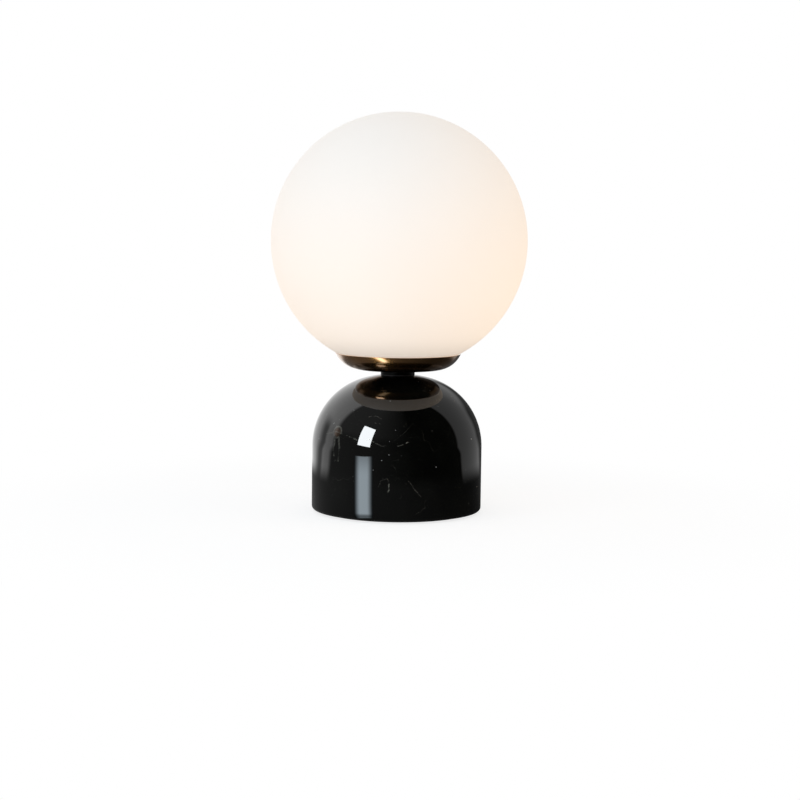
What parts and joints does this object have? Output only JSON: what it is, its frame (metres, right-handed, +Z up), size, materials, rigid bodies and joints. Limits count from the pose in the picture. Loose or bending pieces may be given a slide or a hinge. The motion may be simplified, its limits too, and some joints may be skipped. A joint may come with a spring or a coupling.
{
  "type": "table lamp",
  "caption": "Small table lamp: opal glass globe in a shallow brass dish over a domed, polished black stone base, with a plug-in capsule bulb inside the globe.",
  "frame": {"origin": "on the table under the lamp's axis, at the underside of the foot pad", "axes": "+Z up along the lamp's axis, -Y the front, +Y the back where the cable comes in"},
  "size_m": [0.15, 0.15, 0.2343],
  "materials": {
    "black_stone": "polished black marble with fine pale and gold veins",
    "foot_foam": "soft matte foam foot",
    "zinc_steel": "zinc plated",
    "black_rubber": "matte moulded rubber",
    "white_nylon": "moulded nylon",
    "black_metal": "satin black",
    "aged_brass": "dark satin brass, brushed around",
    "clear_silicone": "milky silicone",
    "spring_steel": "bright spring strip",
    "rivet_brass": "plain rivet",
    "opal_glass": "matt opal, lit from inside",
    "white_ceramic": "white steatite",
    "contact_bronze": "spring bronze",
    "bulb_white": "heat-proof plastic",
    "bulb_clear": "clear, lit",
    "pin_nickel": "nickel wire",
    "circuit_board": "white solder mask",
    "light_chip": "yellow phosphor"
  },
  "bodies": {
    "base": {"stone_base": "black_stone", "foot_pad": "foot_foam", "clamp_plate": "zinc_steel", "spring_washer": "zinc_steel", "base_nut": "zinc_steel", "cable_grommet": "black_rubber", "threaded_tube": "zinc_steel", "lower_bush": "white_nylon", "upper_bush": "white_nylon", "neck_gasket": "black_rubber", "neck_spacer": "black_metal", "fitter_dish": "aged_brass", "dish_washer": "zinc_steel", "dish_nut": "zinc_steel", "globe_cushion": "clear_silicone", "gallery_plate": "zinc_steel", "gallery_spring_1": "spring_steel", "gallery_spring_2": "spring_steel", "gallery_spring_3": "spring_steel", "gallery_rivets": "rivet_brass", "holder_bracket": "zinc_steel", "bracket_nut": "zinc_steel", "holder_body": "white_ceramic", "holder_contact_left": "contact_bronze", "holder_contact_right": "contact_bronze", "holder_screws": "zinc_steel"},
    "globe_shade": {"globe": "opal_glass"},
    "bulb": {"bulb_base": "bulb_white", "bulb_cover": "bulb_clear", "bulb_pins": "pin_nickel", "bulb_board": "circuit_board", "bulb_chips": "light_chip"}
  },
  "joints": [
    {"name": "globe_lift", "type": "slide", "parent": "base", "child": "globe_shade", "axis": [0, 0, 1], "range_m": [0, 0.1]},
    {"name": "bulb_pull", "type": "slide", "parent": "base", "child": "bulb", "axis": [0, 0, 1], "range_m": [0, 0.03]}
  ]
}
